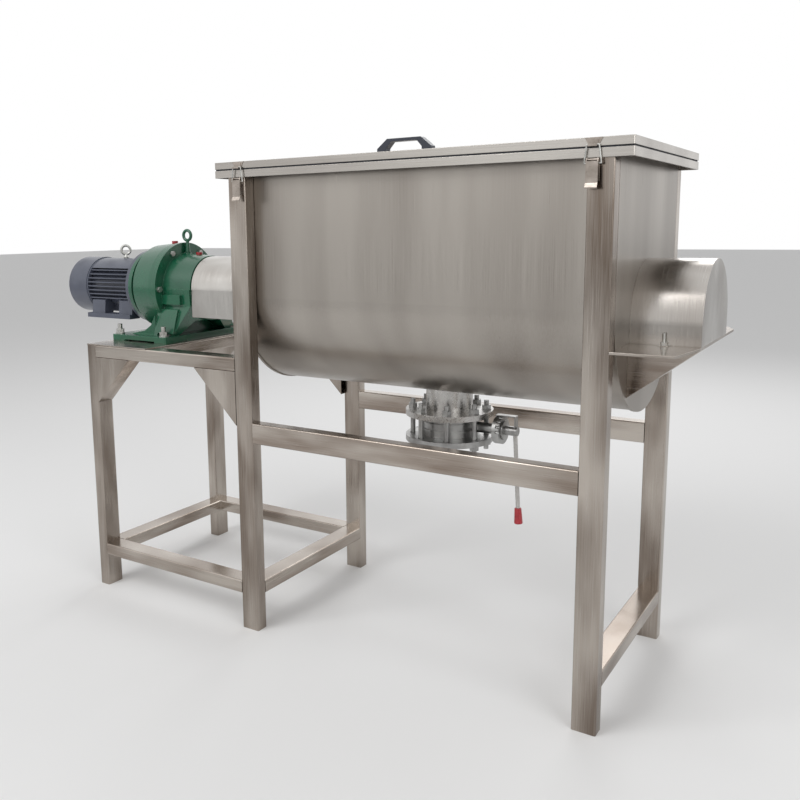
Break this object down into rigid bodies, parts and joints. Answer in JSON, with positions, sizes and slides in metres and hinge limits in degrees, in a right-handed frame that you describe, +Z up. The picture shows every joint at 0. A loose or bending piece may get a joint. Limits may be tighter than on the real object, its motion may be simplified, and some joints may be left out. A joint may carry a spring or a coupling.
{
  "type": "ribbon blender",
  "caption": "Stainless horizontal ribbon blender: covered U-shaped trough on a tube frame, geared motor drive at one end, lever-operated discharge valve below.",
  "frame": {"origin": "on the floor, under the centre of the whole machine's bounding box", "axes": "+Z up, +X along the agitator's shaft from the motor towards the trough's free end, -Y the front with the latches"},
  "size_m": [2.207, 0.654, 1.414],
  "materials": {
    "polished_stainless": "polished",
    "brushed_stainless": "brushed",
    "stainless_fittings": "satin",
    "green_casting": "gloss paint on cast iron",
    "blue_grey_paint": "satin paint",
    "steel_shafting": "machined",
    "cast_bearing": "painted casting",
    "dark_plastic": "satin",
    "red_plastic": "gloss",
    "seal_rubber": "matt"
  },
  "bodies": {
    "frame": {"frame_legs": "polished_stainless", "upper_rails": "polished_stainless", "lower_rails": "polished_stainless", "platform_rails": "polished_stainless", "platform_plate": "polished_stainless", "corner_gussets": "polished_stainless", "trough_shell": "brushed_stainless", "end_plates": "brushed_stainless", "rim_flange": "brushed_stainless", "discharge_neck": "stainless_fittings", "valve_body": "stainless_fittings", "valve_seat": "seal_rubber", "outlet_flange": "stainless_fittings", "flange_studs": "stainless_fittings", "index_plate": "stainless_fittings", "bearing_shelf": "polished_stainless", "shelf_bracket": "polished_stainless", "bearing_guard": "polished_stainless", "pillow_block": "cast_bearing", "flange_bearing": "cast_bearing", "bearing_inserts": "steel_shafting", "bearing_fasteners": "stainless_fittings", "shaft_glands": "stainless_fittings", "coupling_guard": "polished_stainless", "reducer_housing": "green_casting", "ring_gear_body": "green_casting", "motor_adapter": "green_casting", "reducer_bolts": "stainless_fittings", "reducer_eyebolt": "green_casting", "oil_plugs": "red_plastic", "motor_frame": "blue_grey_paint", "fan_cover": "blue_grey_paint", "motor_eyebolt": "stainless_fittings", "terminal_box": "blue_grey_paint", "hinge_frame_leaves": "stainless_fittings", "latch_bases": "stainless_fittings"},
    "lid": {"lid_panel": "brushed_stainless", "lid_gasket": "seal_rubber", "lid_handle": "dark_plastic", "hinge_lid_leaves": "stainless_fittings", "latch_catches": "stainless_fittings"},
    "left_lever": {"latch_lever_left": "stainless_fittings"},
    "right_lever": {"latch_lever_right": "stainless_fittings"},
    "left_bail": {"latch_bail_left": "stainless_fittings"},
    "right_bail": {"latch_bail_right": "stainless_fittings"},
    "agitator": {"agitator_shaft": "steel_shafting", "ribbon_spokes": "steel_shafting", "outer_ribbons": "steel_shafting", "inner_ribbons": "steel_shafting", "coupling_driven_half": "steel_shafting", "coupling_driving_half": "steel_shafting", "coupling_pins": "steel_shafting", "reducer_output_shaft": "steel_shafting"},
    "rotor": {"motor_rotor": "steel_shafting", "cooling_fan": "dark_plastic"},
    "valve_lever": {"butterfly_disc": "stainless_fittings", "valve_stem": "stainless_fittings", "lever_hub": "stainless_fittings", "lever_rod": "stainless_fittings", "lever_grip": "red_plastic"}
  },
  "joints": [
    {"name": "lid_hinge", "type": "hinge", "parent": "frame", "child": "lid", "pos_m": [0.4025, 0.321, 1.358], "axis": [-1, 0, 0], "range_deg": [0, 100]},
    {"name": "left_latch_lever", "type": "hinge", "parent": "frame", "child": "left_lever", "pos_m": [-0.093, -0.317, 1.3315], "axis": [-1, 0, 0], "range_deg": [0, 120]},
    {"name": "right_latch_lever", "type": "hinge", "parent": "frame", "child": "right_lever", "pos_m": [0.898, -0.317, 1.3315], "axis": [-1, 0, 0], "range_deg": [0, 120]},
    {"name": "left_latch_bail", "type": "hinge", "parent": "left_lever", "child": "left_bail", "pos_m": [-0.093, -0.3165, 1.324], "axis": [-1, 0, 0], "range_deg": [-110, 2]},
    {"name": "right_latch_bail", "type": "hinge", "parent": "right_lever", "child": "right_bail", "pos_m": [0.898, -0.3165, 1.324], "axis": [-1, 0, 0], "range_deg": [-110, 2]},
    {"name": "agitator_spin", "type": "hinge", "parent": "frame", "child": "agitator", "pos_m": [0.4025, 0.0015, 1], "axis": [1, 0, 0], "continuous": true},
    {"name": "motor_spin", "type": "hinge", "parent": "frame", "child": "rotor", "pos_m": [-0.9975, 0.0015, 1], "axis": [1, 0, 0], "continuous": true},
    {"name": "valve_lever_turn", "type": "hinge", "parent": "frame", "child": "valve_lever", "pos_m": [0.4025, 0.0015, 0.635], "axis": [-1, 0, 0], "range_deg": [0, 90]}
  ],
  "couplings": [
    {"joint": "motor_spin", "follows": "agitator_spin", "ratio": -35},
    {"joint": "left_latch_bail", "follows": "left_latch_lever", "ratio": -0.9},
    {"joint": "right_latch_bail", "follows": "right_latch_lever", "ratio": -0.9}
  ]
}
